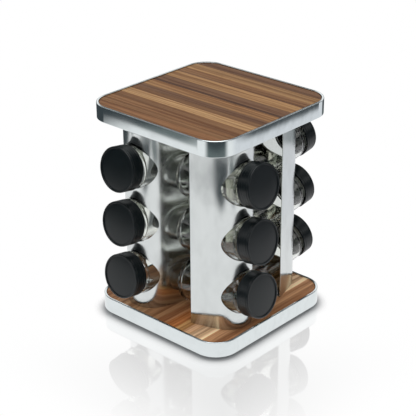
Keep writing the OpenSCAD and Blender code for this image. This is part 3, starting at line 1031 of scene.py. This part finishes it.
# How the white sheet under the carousel ends, as mirrors and glass see it. Each pair says where a soft step
# starts and where it is done, in metres from the middle: an edge's own step, and those that bound the edge.
RIGHT_EDGE = (0.452, 0.468)
RIGHT_EDGE_BACK = (0.36, 0.42)
FRONT_EDGE = (0.496, 0.503)
FRONT_EDGE_LEFT = (0.27, 0.36)
LEFT_EDGE = (0.42, 0.53)
BACK_EDGE = (0.5, 0.53)
BACK_EDGE_LEFT = (-0.3, -0.2)
BACK_EDGE_RIGHT = (0.1, 0.2)
ROUND_EDGE = (0.59, 0.615)
ROUND_EDGE_RIGHT = (-0.02, 0.22)
ROUND_EDGE_FRONT = (-0.04, 0.2)
# The shade left of the carousel, which is seen only through glass
SHADE_LEFT = (0.15, 0.18)
SHADE_ACROSS = (-0.099, -0.093)
SHADE_BACK = (0.26, 0.32)
shade_depth = 0.9
# The dark rounds of those who stand before the sheet, as the noses of the panels mirror them: middle and half
# width, the soft step of their rims in half widths squared, and where the first of them fades out
ONLOOKERS = [((0.235, -0.515), (0.245, 0.15)), ((0.445, -0.25), (0.07, 0.12))]
ONLOOKER_RIM = (0.75, 1.2)
FIRST_FADE = (0.56, 0.61)
# Where the room past the sheet is at its darkest and where it grows pale, and its tones: at its darkest,
# just past the sheet's edge, and far to the right
DARKEST_ROUND = (0.64, 0.69)
DARKEST_LEFT = (0.42, 0.5)
PALE_RIGHT = (0.85, 1.15)
ROOM = (0.05, 0.062, 0.068, 1)
ROOM_BY_SHEET = (0.15, 0.18, 0.18, 1)
ROOM_PALE = (0.38, 0.38, 0.42, 1)
# The room's lights, by how far a direction rises, 0 level and 1 upright: the one overhead, the band round the
# walls, the low one past the back left corner with how far it spreads, and where the last two end above
OVERHEAD_FROM = (0.74, 0.86)
BAND_FROM = (0.25, 0.38)
LOW_LIGHT_FROM = (0.12, 0.3)
LOW_LIGHT_SPREAD = (0.6, 0.85)
WALL_LIGHTS_TOP = (0.5, 0.6)
# How strongly the world lights what isn't a mirror
ambient_light = 0.55

# The sheet's tones: as it is looked at, as mirrors see it before and behind the carousel, and as light falls
# on it, in the open and with a painted shadow in the crevice under the carousel and round its edge
WHITE = (1, 1, 1, 1)
SHEET_NEAR = (0.94, 0.94, 0.94, 1)
SHEET_FAR = (0.78, 0.79, 0.82, 1)
SHEET_FADE = (0.1, 0.4)
SHEET_MATT = (0.8, 0.8, 0.8, 1)
SHEET_PAINTED_SHADOW = (0.36, 0.37, 0.38, 1)
# How strongly the sheet mirrors the carousel, how far round it that reaches, and what its shadow takes away
polish = 0.33
polish_reach = 0.17
polish_loss = 0.85
polish_rough = 0.04
# Where the shadow and the crevice's painted shadow end, outward from the middles of the plate's round corners
SHADOW_EDGE = (corner_r - 2 * MM, corner_r + 14 * MM)
PAINTED_SHADOW_EDGE = (corner_r - 1 * MM, corner_r + 10 * MM)
floor_half = 6


def flat(name, points, material):
    """A flat stage piece through these points."""
    mesh = bpy.data.meshes.new(name)
    mesh.from_pydata(points, [], [list(range(len(points)))])
    mesh.materials.append(material)
    made = bpy.data.objects.new(name, mesh)
    bpy.context.scene.collection.objects.link(made)
    return made


def any_of(*masks):
    """The largest of some masks."""
    first, *others = masks
    for other in others:
        first = first.either(other)
    return first


def length_of(x, y):
    """The length of a level vector."""
    return (x * x + y * y).math("SQRT")


def sheet_ends(f, x, y):
    """Where mirrors and glass see that the sheet has ended, and where the room past it is at its darkest."""
    left, near_side = -1 * x, -1 * y
    out = length_of(x, y)
    right_edge = x.between(*RIGHT_EDGE) * y.between(*RIGHT_EDGE_BACK)
    front_edge = near_side.between(*FRONT_EDGE) * left.between(*FRONT_EDGE_LEFT)
    left_edge = left.between(*LEFT_EDGE)
    back_edge = y.between(*BACK_EDGE) * x.between(*BACK_EDGE_LEFT) * (1 - x.between(*BACK_EDGE_RIGHT))
    back_edge = back_edge * f.ray("Glossy")
    round_edge = out.between(*ROUND_EDGE) * x.between(*ROUND_EDGE_RIGHT)
    round_edge = round_edge * near_side.between(*ROUND_EDGE_FRONT)
    shade = left.between(*SHADE_LEFT) * (x + y).between(*SHADE_ACROSS) * (1 - y.between(*SHADE_BACK))
    shade = shade * f.ray("Transmission")
    rounds = []
    for (middle_x, middle_y), (half_x, half_y) in ONLOOKERS:
        off_x, off_y = (x - middle_x) * (1 / half_x), (y - middle_y) * (1 / half_y)
        rounds.append(1 - (off_x * off_x + off_y * off_y).between(*ONLOOKER_RIM))
    first, second = rounds
    first = first * (1 - out.between(*FIRST_FADE))
    ended = any_of(right_edge, front_edge, left_edge, round_edge, first, second, back_edge,
                   shade * shade_depth)
    darkest = any_of(right_edge, out.between(*DARKEST_ROUND), left.between(*DARKEST_LEFT), first, shade)
    return ended, darkest


def white_floor():
    """A white polished sheet. Mirrors and glass also see where it ends and the dark room begins."""
    f = Finish("white_floor")
    x, y, _ = f.place().parts()
    ended, darkest = sheet_ends(f, x, y)
    mirrored = f.ray("Glossy").either(f.ray("Transmission"))
    looked = f.ray("Camera")
    side_x, side_y = x.math("ABSOLUTE"), y.math("ABSOLUTE")
    beside = 1 - side_x.either(side_y).between(plate_half, plate_half + polish_reach)
    past_x, past_y = ((side - (plate_half - corner_r)).either(0) for side in (side_x, side_y))
    past = length_of(past_x, past_y)
    shadow = 1 - past.between(*SHADOW_EDGE)
    painted_shadow = 1 - past.between(*PAINTED_SHADOW_EDGE)
    # Close to the plate the matt colour darkens to a painted shadow.
    matt = f.node("BsdfDiffuse", {}, {"Color": f.mix(painted_shadow, SHEET_MATT, SHEET_PAINTED_SHADOW)})
    sheet = f.mix(y.between(*SHEET_FADE), SHEET_NEAR, SHEET_FAR)
    white = f.node("Emission", {}, {"Color": f.mix(looked, sheet, WHITE)})
    gloss = f.node("BsdfGlossy", {}, {"Color": WHITE, "Roughness": polish_rough})
    room = f.mix(x.between(*PALE_RIGHT), ROOM, ROOM_PALE)
    dark = f.node("Emission", {}, {"Color": f.mix(darkest, ROOM_BY_SHEET, room)})
    plain = f.node("MixShader", {}, {0: mirrored.either(looked * (1 - shadow)), 1: matt, 2: white})
    share = polish * beside * looked * (1 - polish_loss * shadow)
    polished = f.node("MixShader", {}, {0: share, 1: plain, 2: gloss})
    return f.surface(f.node("MixShader", {}, {0: mirrored * ended, 1: polished, 2: dark}))


def studio(world):
    """White where it is looked at. Mirrors and glass see a dark room with three lights in it.

    One is broad and overhead, one stands low past the back left corner, and a band goes round the walls."""
    w = Finish("studio", world)
    x, y, z = w.node("TexCoord", out="Generated").parts()
    below_top = 1 - z.between(*WALL_LIGHTS_TOP)
    overhead = z.between(*OVERHEAD_FROM)
    low_light = (y - x).between(*LOW_LIGHT_SPREAD) * z.between(*LOW_LIGHT_FROM) * below_top
    band = z.between(*BAND_FROM) * below_top
    room = w.mix(any_of(overhead, low_light, band), ROOM, WHITE)
    mirrored = w.ray("Glossy").either(w.ray("Transmission"))
    ambient = w.node("Background", {}, {"Color": WHITE, "Strength": ambient_light})
    white = w.node("Background", {}, {"Color": WHITE, "Strength": 1.0})
    dark = w.node("Background", {}, {"Color": room, "Strength": 1.0})
    looked = w.node("MixShader", {}, {0: mirrored, 1: white, 2: dark})
    seen = mirrored.either(w.ray("Camera"))
    w.surface(w.node("MixShader", {}, {0: seen, 1: ambient, 2: looked}), "OutputWorld")


def lamp(name, at, target, size, power, mirrored=True):
    """A soft square lamp that faces a point."""
    light = bpy.data.lights.new(name, "AREA")
    light.size = size
    light.energy = power
    made = bpy.data.objects.new(name, light)
    made.location = at
    made.rotation_euler = (Vector(target) - Vector(at)).to_track_quat("-Z", "Y").to_euler()
    made.visible_glossy = mirrored
    bpy.context.scene.collection.objects.link(made)
    return made


scene = bpy.context.scene
flat("floor", [(-floor_half, -floor_half, 0), (floor_half, -floor_half, 0),
               (floor_half, floor_half, 0), (-floor_half, floor_half, 0)], white_floor())
scene.world = bpy.data.worlds.new("studio")
studio(scene.world)
middle = (0, 0, plate_half)
lamp("overhead", (0.1, -0.1, 1.5), middle, size=1.2, power=9)
lamp("key", (0.5, -1.5, 1.3), middle, size=0.8, power=5, mirrored=False)

# The camera's place, how far it is turned to the left, lowered and rolled, in degrees, and its lens in mm
camera_at = (0.83658, -0.92621, 0.70335)
camera_turn = 42.234
camera_down = 25.185
camera_roll = -0.304
camera_lens = 112.70
camera = bpy.data.objects.new("camera", bpy.data.cameras.new("camera"))
scene.collection.objects.link(camera)
camera.data.lens = camera_lens
camera.matrix_world = (Matrix.Translation(camera_at)
                       @ Matrix.Rotation(math.radians(camera_turn), 4, "Z")
                       @ Matrix.Rotation(math.radians(90 - camera_down), 4, "X")
                       @ Matrix.Rotation(math.radians(camera_roll), 4, "Z"))
scene.camera = camera
scene.view_settings.view_transform = "Standard"
